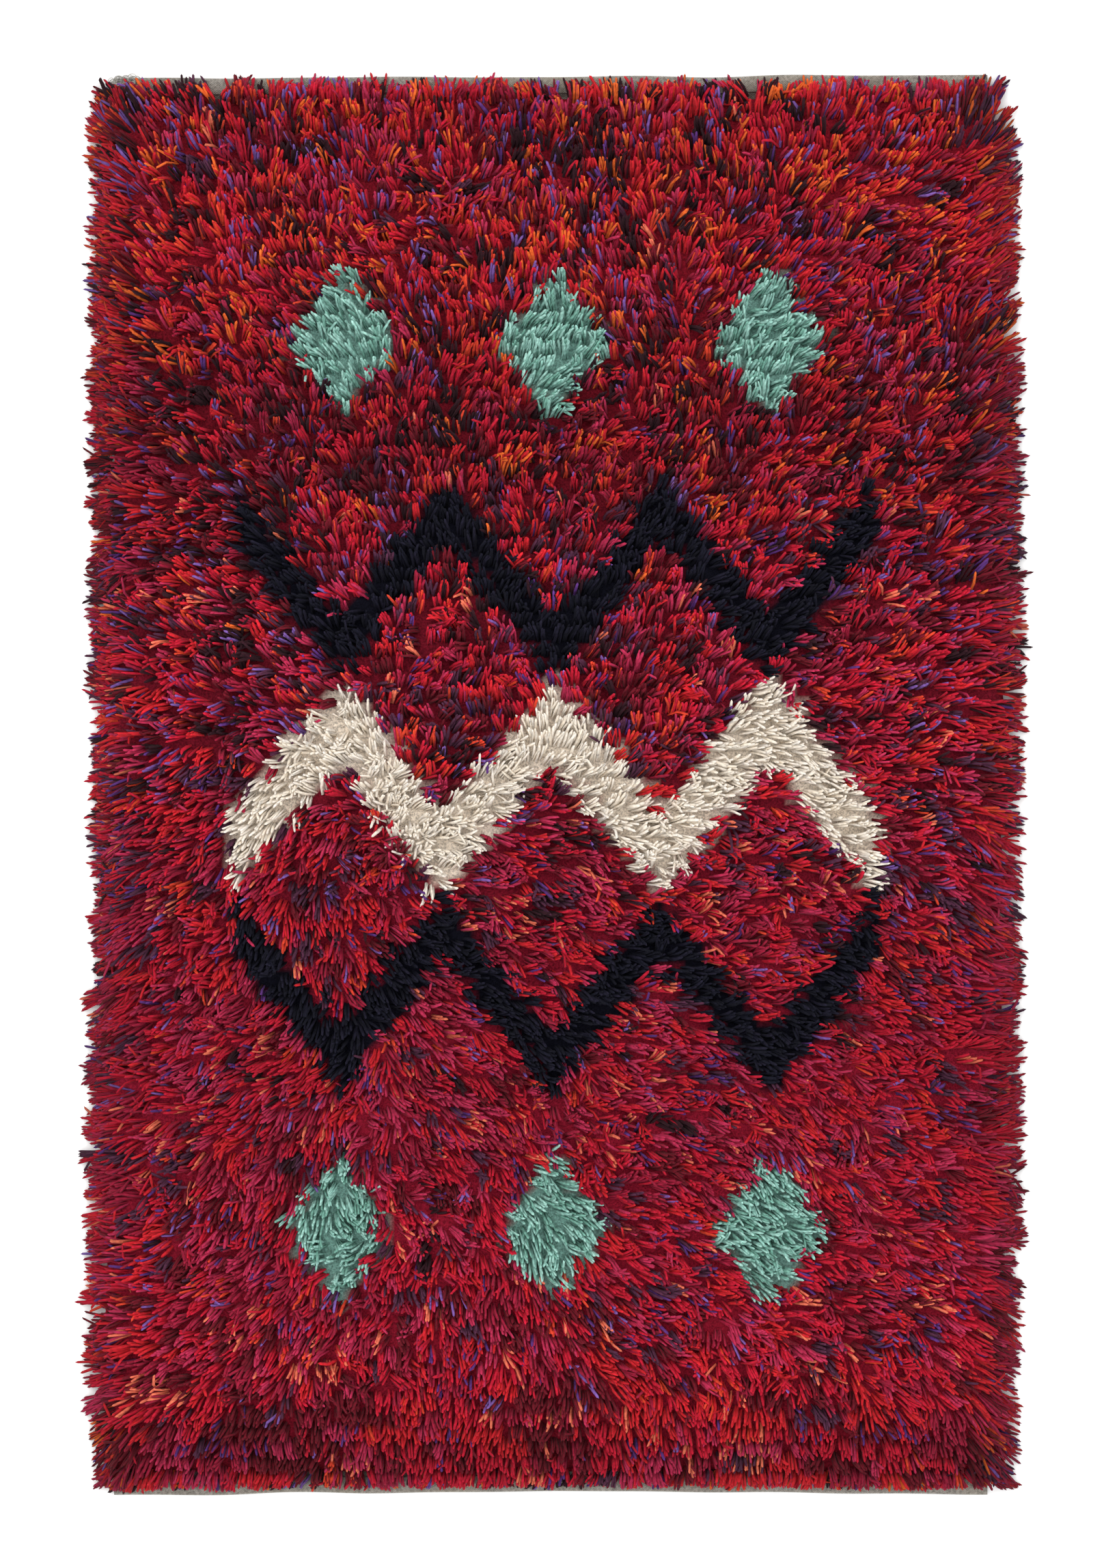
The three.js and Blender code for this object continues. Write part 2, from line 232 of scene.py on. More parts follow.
# Heading of the combed pile in degrees, 0 to the right and 90 towards the head, at places
# along the rug in millimetres; the columns stand at COMBING_PLACES across it
COMBING_PLACES = {
    "far_left": -417, "left": -260, "inner_left": -105, "middle": 50, "right": 230, "far_right": 415,
}
COMBING = np.array([
    (-674, 238, 256, 266, 272, 280, 300),
    (-600, 228, 246, 264, 274, 288, 316),
    (-535, 208, 236, 296, 314, 325, 338),
    (-450, 197, 216, 285, 326, 336, 344),
    (-250, 195, 250, 338, 350, 347, 348),
    (-60, 187, 240, 345, 362, 350, 338),
    (60, 192, 172, 88, 75, 15, -8),
    (200, 182, 135, 94, 66, 46, 24),
    (350, 172, 120, 88, 66, 62, 26),
    (500, 158, 112, 98, 100, 62, 27),
    (656, 136, 120, 94, 91, 60, 40),
], dtype=[("along", float)] + [(name, float) for name in COMBING_PLACES])

# Random turns of the combing, wide and narrow, and the lumps of the pile: lengths of their waves
SWIRL_SHARE = 0.20
SWIRL_LENGTH = 200 * MM
TUFT_SHARE = 0.15
TUFT_LENGTH = 60 * MM
LUMP_LENGTH = 62 * MM
WAVE_SIZES = (0.7, 1.45)
# How strongly the pile turns outwards at the sides and at the ends, and over which shares of
# the half sizes that sets in
SIDE_PULL = 0.9
SIDE_ZONE = (0.84, 1.0)
END_PULL = {"corner": 0.4, "middle": 2.2}
END_ZONE = (0.85, 0.95)
CORNER_ZONE = (0.75, 1.0)

# Yarn colours, with each one's weight in the mix at five places along the rug
YARNS = np.array([
    ("crimson", (182, 24, 48), 25, 20, 23, 36, 25),
    ("bright_red", (192, 32, 42), 27, 15, 15, 11, 17),
    ("rose_red", (175, 42, 77), 9, 8, 15, 22, 10),
    ("wine", (148, 27, 54), 10, 12, 15, 24, 24),
    ("maroon", (103, 19, 33), 12, 25, 17, 3, 22),
    ("near_black", (45, 20, 28), 14, 18, 12, 1, 0),
    ("plum", (78, 40, 62), 3, 4, 13, 9, 2),
], dtype=[("name", "U16"), ("srgb", int, 3), ("head", float), ("upper", float), ("middle", float),
          ("lower", float), ("foot", float)])
# Yarns that come as a few ends among the others; the last entry stands for none of them
ACCENTS = np.array([
    ("orange_red", (206, 63, 41), 23, 12, 10, 3, 5),
    ("orange", (222, 99, 42), 20, 6, 0, 0, 0),
    ("salmon", (216, 108, 82), 1, 1, 4, 8, 8),
    ("lavender", (118, 84, 156), 15, 12, 11, 6, 4),
    ("deep_violet", (84, 46, 112), 8, 9, 12, 11, 10),
    ("none", (0, 0, 0), 33, 60, 63, 70, 73),
], dtype=YARNS.dtype)
ZONE_PLACES = {"foot": -0.95, "lower": -0.5, "middle": 0.18, "upper": 0.46, "head": 0.74}
VIOLETS = ("lavender", "deep_violet")
# The mottled ground is divided along the rug into this many pieces of about equal size
MOTTLED_PIECES = 5
# The near-black yarn lies more to the left: by this share more at that side, less at the right
DARK_SIDE = 0.5
# The rug's two halves differ, with a soft step between these shares of the half length
HALVES_STEP = (-0.3, 0.0)
# How often a knot has two yarns, and how much of a knot a violet one takes against others
TWO_YARNS = {"foot": 0.4, "head": 0.75}
VIOLET_SHARE = 0.65
# How often two neighbours in a row share a yarn, over most of the rug and near its foot, and
# how often two neighbours in a column do
ROW_SHARING = {"most": 0.28, "foot": 0.60}
SHARING_ZONE = (0.78, 0.88)
COLUMN_SHARING = 0.16
# Spread of the dye between ends, and how much of it the ends of one knot have in common
DYE_SPREAD = {"foot": 0.055, "head": 0.105}
IVORY_SPREAD = 0.03
TONE_SHARE = 0.4

# How light the mottled yarns are along the rug, from the foot (-1) to the head (1): their dye,
# and how their hidden feet are painted: below 1 painted shade where the ends crowd, above 1 painted light
DYE_AND_PAINTED_FEET = np.array([
    (-1.0, 0.82, 0.76),
    (-0.91, 0.85, 0.82),
    (-0.86, 1.09, 0.98),
    (-0.76, 1.13, 1.05),
    (-0.58, 1.03, 1.16),
    (-0.42, 0.90, 1.16),
    (0.0, 1.16, 0.79),
    (0.26, 1.24, 0.75),
    (0.42, 0.96, 0.77),
    (0.59, 0.96, 0.77),
    (0.75, 1.13, 0.86),
    (0.92, 0.96, 0.88),
    (1.0, 1.05, 0.90),
], dtype=[("along", float), ("dye", float), ("foot", float)])

MOTIF_YARNS = {
    "ivory": [(241, 228, 211), (238, 224, 205), (244, 232, 217)],
    "navy": [(22, 22, 35), (28, 26, 41), (18, 18, 28)],
    "teal": [(145, 193, 181), (118, 168, 153), (159, 205, 193)],
}
# How light the hidden foot of each motif yarn is painted against its tip: below 1 painted shade
# where the ends crowd, above 1 painted light that lifts that shade
PAINTED_SHADES_AT_FOOT = {"ivory": 1.06, "navy": 0.85, "teal": 0.85}
# The painted shade halfway up an end: this much of its foot's, and this much more
PAINTED_SHADE_MIDWAY = {"of_foot": 0.45, "more": 0.53}
# How light the tips are: most a little lighter, painted light where they stand up into the light,
# and the ivory's a little darker, painted shade that tones down its lit tips
PAINTED_TIP_LIGHT = 1.02
IVORY_PAINTED_TIP_LIGHT = 0.98
# Painted shade at the pile's sides, where its ends bend down away from the light: how much darker
# it is, up to the first depth and fading until the second
PAINTED_SHADES_AT_RIM = {"left": 0.38, "right": 0.53}
PAINTED_RIM_DEPTHS = (30 * MM, 70 * MM)
# Painted shade on the matted layer, darker than its yarns so that it reads as the shade in the
# pile's gaps, and the painted light that it has more of under a motif
PAINTED_BASE_DARKENING = 0.8
PAINTED_MOTIF_BASE_LIGHT = 1.25

# The chart: zigzags across the middle, and a row of lozenges beyond them at each end. It is
# read a little ahead of each knot, where the knot's ends come to lie
ZIGZAG_PERIOD = 206 * MM
ZIGZAG_RISE = 64 * MM
ZIGZAG_HALF_WIDTH = 309 * MM
IVORY_STROKE = 52 * MM
NAVY_STROKE = 38 * MM
NAVY_PLACE = 200 * MM
LOZENGE_PLACE = 425 * MM
LOZENGE_COUNT = 3
LOZENGE_HALF = (54 * MM, 72 * MM)
CHART_SHIFT = 17 * MM


def smooth(low, high, value):
    share = np.clip((value - low) / (high - low), 0.0, 1.0)
    return share * share * (3.0 - 2.0 * share)


def between(share, ends):
    """The first of two named values where share is 0, the second where it is 1."""
    return np.interp(share, (0, 1), list(ends.values()))


def linear(srgb):
    """Linear colour from sRGB numbers up to 255."""
    part = np.asarray(srgb, float) / 255.0
    return np.where(part <= 0.04045, part / 12.92, ((part + 0.055) / 1.055) ** 2.4)


def section(table, place, key, column):
    return np.interp(place, table[key], table[column]) * MM


def end_reach(x, end):
    return section(END_SECTIONS, (x - MIDDLE_X) / HALF_WIDTH, "across", end)


def side_reach(y, side):
    return section(SIDE_SECTIONS, y / HALF_LENGTH, "along", side)


def from_sides(x, y):
    """How far a place is inside the pile's side outlines, in metres."""
    from_left = x - MIDDLE_X + side_reach(y, "left")
    from_right = side_reach(y, "right") - x + MIDDLE_X
    return np.minimum(from_left, from_right)


def from_ends(x, y):
    return np.minimum(end_reach(x, "head") - y, y + end_reach(x, "foot"))


def edge_share(x, y):
    """The pile's height as a share of its full height: a rounded shoulder down to its edge."""
    side_drop = 1 - np.clip(from_sides(x, y) / SIDE_SLOPE, 0, 1)
    end_drop = 1 - np.clip(from_ends(x, y) / END_SLOPE, 0, 1)
    drop = 1 - (1 - side_drop ** 2) * (1 - end_drop ** 2)
    return EDGE_HEIGHT + (1 - EDGE_HEIGHT) * (1 - drop) ** SHOULDER_POWER


def rest_height(x, y):
    """The height of what the pile lies on: the cloth, its hems, or the floor beside them."""
    side_gap = np.maximum(CLOTH_LOW[0] - x, x - CLOTH_HIGH[0])
    end_gap = np.maximum(y - end_reach(x, "head"), -y - end_reach(x, "foot"))
    on_cloth = 1.0 - smooth(*OFF_CLOTH, np.maximum(side_gap, end_gap))
    on_hem = smooth(*ONTO_HEM, end_gap)
    return on_cloth * (CLOTH_TOP + on_hem * (HEM_TOP - CLOTH_TOP))


def wave_field(seed, length, waves=9):
    """A smooth random field over the floor, about 0 with a spread of 1."""
    draw = np.random.default_rng(seed)
    turn = draw.uniform(0, 2 * math.pi, waves)
    size = length * draw.uniform(*WAVE_SIZES, waves)
    start = draw.uniform(0, 2 * math.pi, waves)

    def field(x, y):
        crossing = np.multiply.outer(x, np.cos(turn)) + np.multiply.outer(y, np.sin(turn))
        return np.sin(2 * math.pi * crossing / size + start).sum(-1) * math.sqrt(2 / waves)

    return field


SWIRL_X = wave_field(3, SWIRL_LENGTH)
SWIRL_Y = wave_field(4, SWIRL_LENGTH)
TUFT_X = wave_field(5, TUFT_LENGTH)
TUFT_Y = wave_field(6, TUFT_LENGTH)
LUMPS = wave_field(8, LUMP_LENGTH)


def combing(x, y):
    """The combed pile's heading, as a vector. It is short where neighbours part, and it turns
    outwards at the rug's sides and ends."""
    columns = np.array(list(COMBING_PLACES.values())) * MM
    rows = COMBING["along"] * MM
    to_x = SWIRL_SHARE * SWIRL_X(x, y) + TUFT_SHARE * TUFT_X(x, y)
    to_y = SWIRL_SHARE * SWIRL_Y(x, y) + TUFT_SHARE * TUFT_Y(x, y)
    for name, share in zip(COMBING_PLACES, np.eye(len(columns))):
        weight = np.interp(x - MIDDLE_X, columns, share)
        heading = np.radians(COMBING[name])
        to_x = to_x + weight * np.interp(y, rows, np.cos(heading))
        to_y = to_y + weight * np.interp(y, rows, np.sin(heading))
    across = (x - MIDDLE_X) / PILE_HALF_WIDTH
    along = y / HALF_LENGTH
    inboard = 1 - smooth(*CORNER_ZONE, np.abs(across))
    at_end = END_PULL["corner"] + (END_PULL["middle"] - END_PULL["corner"]) * inboard
    to_x = to_x + SIDE_PULL * np.sign(across) * smooth(*SIDE_ZONE, np.abs(across))
    to_y = to_y + at_end * np.sign(along) * smooth(*END_ZONE, np.abs(along))
    return to_x, to_y


def parting(x, y):
    """Where the pile parts: how much more floor its leaning ends cover than their knots do."""

    def way(axis, place_x, place_y):
        heading = combing(place_x, place_y)
        return heading[axis] / np.clip(np.hypot(*heading), LEAST_PULL, None)

    across = way(0, x + PARTING_STEP, y) - way(0, x - PARTING_STEP, y)
    along = way(1, x, y + PARTING_STEP) - way(1, x, y - PARTING_STEP)
    return (across + along) / (2 * PARTING_STEP) * LEANING_REACH


def zigzag_gap(x, y, place, turn):
    """Distance from a zigzag line; turn is 1 or -1 for a peak or a dip at the middle."""
    phase = np.abs(((x - MIDDLE_X) / ZIGZAG_PERIOD + 0.5) % 1.0 - 0.5)
    line = place + turn * ZIGZAG_RISE * (1.0 - 4.0 * phase)
    slope = math.atan2(4.0 * ZIGZAG_RISE, ZIGZAG_PERIOD)
    return np.abs(y - line) * math.cos(slope)


def chart(x, y):
    """The yarn of each knot: '' for the mottled red ground, or the name of a motif's yarn."""
    kind = np.full(x.shape, "", dtype="U8")
    within = np.abs(x - MIDDLE_X) < ZIGZAG_HALF_WIDTH
    for side in (-1, 1):
        kind[within & (zigzag_gap(x, y, side * NAVY_PLACE, -1) < NAVY_STROKE / 2)] = "navy"
        for number in range(LOZENGE_COUNT):
            middle = MIDDLE_X + (number - (LOZENGE_COUNT - 1) / 2) * ZIGZAG_PERIOD
            across = np.abs(x - middle) / LOZENGE_HALF[0]
            along = np.abs(y - side * LOZENGE_PLACE) / LOZENGE_HALF[1]
            kind[across + along < 1.0] = "teal"
    kind[within & (zigzag_gap(x, y, 0.0, 1) < IVORY_STROKE / 2)] = "ivory"
    return kind


def rim_gain(x):
    """How much further the ends of the outermost knots reach, as a share."""
    across = (x - MIDDLE_X) / HALF_WIDTH
    return sum(RIM_GAINS[side] * smooth(*RIM_ZONE, sense * across)
               for side, sense in (("left", -1), ("right", 1)))


def wear(x, y):
    """How much of the ends is worn away round the head's two corners, as a share."""
    worn = 0
    for side, edge in (("left", CLOTH_LOW[0]), ("right", CLOTH_HIGH[0])):
        from_corner = np.hypot(x - edge, y - end_reach(x, "head") + HEM_DEPTH)
        worn = worn + WORN_SHARES[side] * np.exp(-(from_corner / WORN_CORNER) ** 2)
    return worn


def lay_knots(draw):
    """Rows of knots over the ground cloth, with the heading of each and its yarn on the chart."""
    left = CLOTH_LOW[0] + LEFT_MARGIN
    right = CLOTH_HIGH[0] - RIGHT_MARGIN
    columns = int((right - left) / KNOT_PITCH) + 1
    x, row = np.meshgrid(np.linspace(left, right, columns), np.arange(KNOT_ROWS))
    y = (row - (KNOT_ROWS - 1) / 2) * ROW_PITCH
    near_foot = smooth(*FOOT_ZONE, -y / HALF_LENGTH)
    disorder = 1 - FOOT_ORDER * near_foot
    uneven = 1 - FOOT_TRIM_ORDER * near_foot
    x = x + draw.uniform(-KNOT_JITTER, KNOT_JITTER, x.shape)
    y = y + draw.uniform(-KNOT_JITTER, KNOT_JITTER, y.shape) * disorder
    to_x, to_y = combing(x, y)
    pull = np.clip(np.hypot(to_x, to_y), LEAST_PULL, None)
    lean = np.clip(LEAST_LEAN + LEAN_GAIN * pull, LEAST_LEAN, 1.0)
    inner = 1 - RIM_ORDER * (1 - smooth(RIM_DEPTH, 2 * RIM_DEPTH, from_sides(x, y)))
    unsure = PARTED_SPREAD * (1 - np.minimum(pull, 1)) ** PARTED_POWER
    swirl = draw.normal(0, 1, x.shape) * (KNOT_SPREADS["heading"] * inner * disorder + unsure)
    last_row = from_ends(x, y) < END_ROW_DEPTH
    long_tuft = draw.random(x.shape) < LONG_TUFTS
    parted = parting(x, y) > PARTED
    tilt = draw.normal(0, KNOT_SPREADS["tilt"], x.shape) * disorder
    reach_spread = KNOT_SPREADS["reach"] * disorder + LAST_ROW_REACH_SPREAD * last_row
    reach = draw.normal(0, 1, x.shape) * reach_spread + END_ROW_GAIN * last_row
    curl = draw.normal(0, KNOT_SPREADS["curl"], x.shape) * disorder * inner
    trim = draw.normal(0, TRIM_UNEVEN, x.shape) + LUMP_TRIM * LUMPS(x, y)
    trim = trim - LONG_TUFT_GAIN * long_tuft
    leaning_by = CHART_SHIFT * lean / pull
    return {
        "x": x,
        "y": y,
        "heading": np.arctan2(to_y, to_x) + swirl,
        "swirl": swirl,
        "lean": lean,
        "kind": chart(x + leaning_by * to_x, y + leaning_by * to_y),
        "tilt": tilt,
        "reach": reach + rim_gain(x) - wear(x, y),
        "curl": curl,
        "trim": trim * uneven,
        "disorder": disorder,
        "uneven": uneven,
        "parted": parted,
        "dense": (from_sides(x, y) < RIM_DEPTH) | last_row | parted,
        "last_row": last_row,
    }


def mix_weights(yarns, x, y):
    """The weight of each yarn in the mix at places on the rug."""
    places = list(ZONE_PLACES.values())
    weights = np.stack([
        np.interp(y / HALF_LENGTH, places, [yarn[zone] for zone in ZONE_PLACES]) for yarn in yarns
    ], axis=-1)
    across = ((x - MIDDLE_X) / HALF_WIDTH)[..., None]
    weights = weights * (1 - DARK_SIDE * across * (yarns["name"] == "near_black"))
    return weights / weights.sum(-1, keepdims=True)


def pick_yarns(draw, yarns, x, y):
    """A yarn number for each knot. Neighbours in a row, and now and then in a column, share one."""
    limits = mix_weights(yarns, x, y).cumsum(-1)
    chosen = (draw.random(y.shape)[..., None] > limits).sum(-1).clip(0, len(yarns) - 1)
    repeat = draw.random(y.shape)
    in_row = between(smooth(*SHARING_ZONE, -y / HALF_LENGTH), ROW_SHARING)
    for column in range(1, y.shape[1]):
        again = repeat[:, column] < in_row[:, column]
        chosen[:, column] = np.where(again, chosen[:, column - 1], chosen[:, column])
    for row in range(1, y.shape[0]):
        again = repeat[row] > 1 - COLUMN_SHARING
        chosen[row] = np.where(again, chosen[row - 1], chosen[row])
    return chosen


def headward(y):
    """0 towards the foot and 1 towards the head, with a soft step before the middle."""
    return smooth(*HALVES_STEP, y / HALF_LENGTH)


def dye_knots(draw, knots):
    """Each knot's main yarn, its second yarn, and how much of it the second one takes."""
    place = knots["x"], knots["y"]
    main = pick_yarns(draw, YARNS, *place)
    accent = pick_yarns(draw, ACCENTS, *place)
    mixed = between(headward(knots["y"]), TWO_YARNS)
    other = np.where(draw.random(main.shape) < mixed, pick_yarns(draw, YARNS, *place), main)
    second = np.where(accent < len(ACCENTS) - 1, accent + len(YARNS), other)
    names = list(ACCENTS["name"])
    violet = np.isin(second, [len(YARNS) + names.index(name) for name in VIOLETS])
    second_share = draw.random(main.shape) * np.where(violet, VIOLET_SHARE, 1.0)
    return main, second, second_share


def spin_ends(draw, knots):
    """Every loose yarn end of every knot, as flat arrays."""
    main, second, second_share = dye_knots(draw, knots)
    shape = main.shape
    tone = draw.normal(0, 1, shape)
    ends = []
    for number in range(ENDS_A_KNOT + MORE_ENDS):
        kept = knots["dense"] | (number < ENDS_A_KNOT)
        order = number % ENDS_A_KNOT
        abreast = (order % ENDS_ABREAST - (ENDS_ABREAST - 1) / 2) * KNOT_WIDTH / ENDS_ABREAST
        layer = order // ENDS_ABREAST - 0.5
        takes_second = second_share > SECOND_YARN_ENDS.get(order, 1.0)
        off = draw.normal(0, END_SPREADS["heading"], shape)
        behind = LAYER_GAP * layer * knots["disorder"]
        end = {
            "x": knots["x"] + abreast + draw.normal(0, END_JITTERS["across"], shape),
            "y": knots["y"] + behind + draw.normal(0, END_JITTERS["along"], shape),
            "heading": knots["heading"] + off,
            "off": knots["swirl"] + off,
            "tilt": knots["tilt"] + draw.normal(0, END_SPREADS["tilt"], shape),
            "reach": knots["reach"] + draw.normal(0, END_SPREADS["reach"], shape) * knots["disorder"],
            "curl": knots["curl"] + draw.normal(0, END_SPREADS["curl"], shape),
            "trim": knots["trim"] + draw.normal(0, END_TRIM_SPREAD, shape) * knots["uneven"],
            "flat": np.zeros(shape),
            "lean": knots["lean"],
            "kind": knots["kind"],
            "yarn": np.where(takes_second, second, main),
            "shade": TONE_SHARE * tone + draw.normal(0, 1, shape),
        }
        end["tilt"] = end["tilt"] + layer * LAYER_LEAN * knots["disorder"]
        if number >= ENDS_A_KNOT:
            lay_extra(draw, knots, end)
        ends.append({key: value[kept] for key, value in end.items()})
    ends.append(corner_lock(draw, ends[0]))
    return {key: np.concatenate([end[key] for end in ends]) for key in ends[0]}


def lay_extra(draw, knots, end):
    """Turn a knot's end into an extra one, which fills the pile where it would be thin."""
    parted = knots["parted"]
    end["reach"] = end["reach"] - draw.uniform(0, EXTRA_SHORTENING, parted.shape)
    end["yarn"] = np.roll(end["yarn"], EXTRA_YARN_ROWS, axis=0)
    turn = np.where(parted, EXTRA_HEADINGS["parted"], EXTRA_HEADINGS["rim"])
    end["heading"] = end["heading"] + draw.normal(0, 1, parted.shape) * turn
    end["tilt"] = end["tilt"] - PARTED_DROP * parted
    end["flat"] = HEM_FLATTENING * knots["last_row"]


def corner_lock(draw, like):
    """The long dark lock at the head's left corner, with the same keys as other ends."""
    count = CORNER_LOCK["ends"]
    spread = draw.uniform(-1, 1, count)
    lock = {key: np.zeros(count, values.dtype) for key, values in like.items()}
    lock["x"] = CLOTH_LOW[0] + CORNER_LOCK["from_side"] + CORNER_LOCK["spread"] * spread
    lock["y"] = end_reach(lock["x"], "head") - CORNER_LOCK["from_end"]
    lock["y"] = lock["y"] + CORNER_LOCK["spread"] * draw.uniform(-1, 1, count)
    lock["heading"] = CORNER_LOCK["heading"] + CORNER_LOCK["heading_spread"] * spread
    lock["tilt"] = np.full(count, CORNER_LOCK["tilt"])
    lock["reach"] = CORNER_LOCK["reach"] + CORNER_LOCK["reach_spread"] * spread
    lock["curl"] = np.full(count, CORNER_LOCK["curl"])
    lock["trim"] = np.full(count, CORNER_LOCK["trim"])
    lock["lean"] = np.ones(count)
    lock["yarn"] = np.full(count, list(YARNS["name"]).index("near_black"))
    return lock


def dye_and_painted_feet(y, column):
    return np.interp(y / HALF_LENGTH, DYE_AND_PAINTED_FEET["along"], DYE_AND_PAINTED_FEET[column])


def painted_shades_at_foot(kinds, y):
    """How light the hidden foot of each yarn end is painted against its tip: below 1 painted shade
    where the ends crowd, above 1 painted light that lifts that shade.
    """
    choices = [kinds == kind for kind in PAINTED_SHADES_AT_FOOT]
    return np.select(choices, list(PAINTED_SHADES_AT_FOOT.values()), dye_and_painted_feet(y, "foot"))


def yarn_colours(draw, ends):
    """Linear colour of each yarn end, with the dye a little uneven and painted shade at the pile's sides.
    """
    colours = linear(np.concatenate([YARNS["srgb"], ACCENTS["srgb"]]))[ends["yarn"]]
    for kind, tones in MOTIF_YARNS.items():
        chosen = ends["kind"] == kind
        colours[chosen] = linear(tones)[draw.integers(0, len(tones), chosen.sum())]
    spread = between(headward(ends["y"]), DYE_SPREAD)
    spread = np.where(ends["kind"] == "ivory", IVORY_SPREAD, spread)
    lot = np.where(ends["kind"] == "", dye_and_painted_feet(ends["y"], "dye"), 1.0)
    # Painted shade at the sides, where the ends bend down away from the light
    at_rim = 1 - smooth(*PAINTED_RIM_DEPTHS, from_sides(ends["x"], ends["y"]))
    painted_shade_at_rim = np.where(ends["x"] < MIDDLE_X, PAINTED_SHADES_AT_RIM["left"], PAINTED_SHADES_AT_RIM["right"])
    shade = np.exp(spread * ends["shade"]) * (1 - painted_shade_at_rim * at_rim) * lot
    return colours * shade[:, None]


def strand_paths(draw, ends):
    """Middle line of each yarn end at PATH_STEPS + 1 points: up from its knot, then bending over
    to lean on the rows beyond, lower towards the edge of the rug. All of them are trimmed to an
    uneven line round it."""
    count = len(ends["x"])
    stray = draw.random(count) < STRAYS
    curl = ends["curl"] + stray * draw.normal(0, STRAY_CURL, count)
    length = YARN_LENGTH * (1 + ends["reach"]) * np.where(stray, STRAY_REACH, 1.0)
    upright = 1 - FLATTENING * (1 - smooth(*FLAT_DEPTHS, from_sides(ends["x"], ends["y"])))
    upright = upright * (1 - ends["flat"])
    tip_angle = (TIP_ANGLE + ends["tilt"]) * upright
    root_angle = ROOT_ANGLE * upright
    share = (np.arange(PATH_STEPS) + 0.5) / PATH_STEPS
    rise_angle = tip_angle[:, None] + (root_angle - tip_angle)[:, None] * (1 - share) ** SPRING
    first_heading = ends["heading"] + stray * draw.normal(0, STRAY_HEADING, count)
    heading = first_heading[:, None] + curl[:, None] * share ** CURL_POWER
    step = (length / PATH_STEPS)[:, None]
    forward = np.cos(rise_angle) * step * ends["lean"][:, None]
    moves = np.stack([forward * np.cos(heading), forward * np.sin(heading), np.sin(rise_angle) * step],
                     axis=-1)
    path = np.concatenate([np.zeros((count, 1, 3)), moves.cumsum(1)], axis=1)
    taper = RIM_TAPER * np.minimum(np.abs(ends["off"]) / TAPER_ANGLE, 1.0)
    end_trim = np.where(ends["y"] > 0, END_TRIM["head"], END_TRIM["foot"])
    lines = (from_sides, SIDE_TRIM + taper), (from_ends, end_trim)
    for axis, (inside, line) in enumerate(lines):
        tip = path[:, -1]
        past_line = line + ends["trim"] - inside(ends["x"] + tip[:, 0], ends["y"] + tip[:, 1])
        kept = 1 - np.maximum(past_line, 0) / np.maximum(np.abs(tip[:, axis]), LEAST_SPAN)
        path[..., axis] *= np.clip(kept, 0, 1)[:, None]
    x = ends["x"][:, None] + path[..., 0]
    y = ends["y"][:, None] + path[..., 1]
    rise = TALLEST * np.tanh(np.maximum(path[..., 2], 0) / TALLEST)
    rise = rise * edge_share(x, y) * (1 + LUMP_RISE * LUMPS(x, y))
    z = rest_height(x, y) + YARN_RADIUS + rise
    return np.stack([x, y, z], axis=-1), length


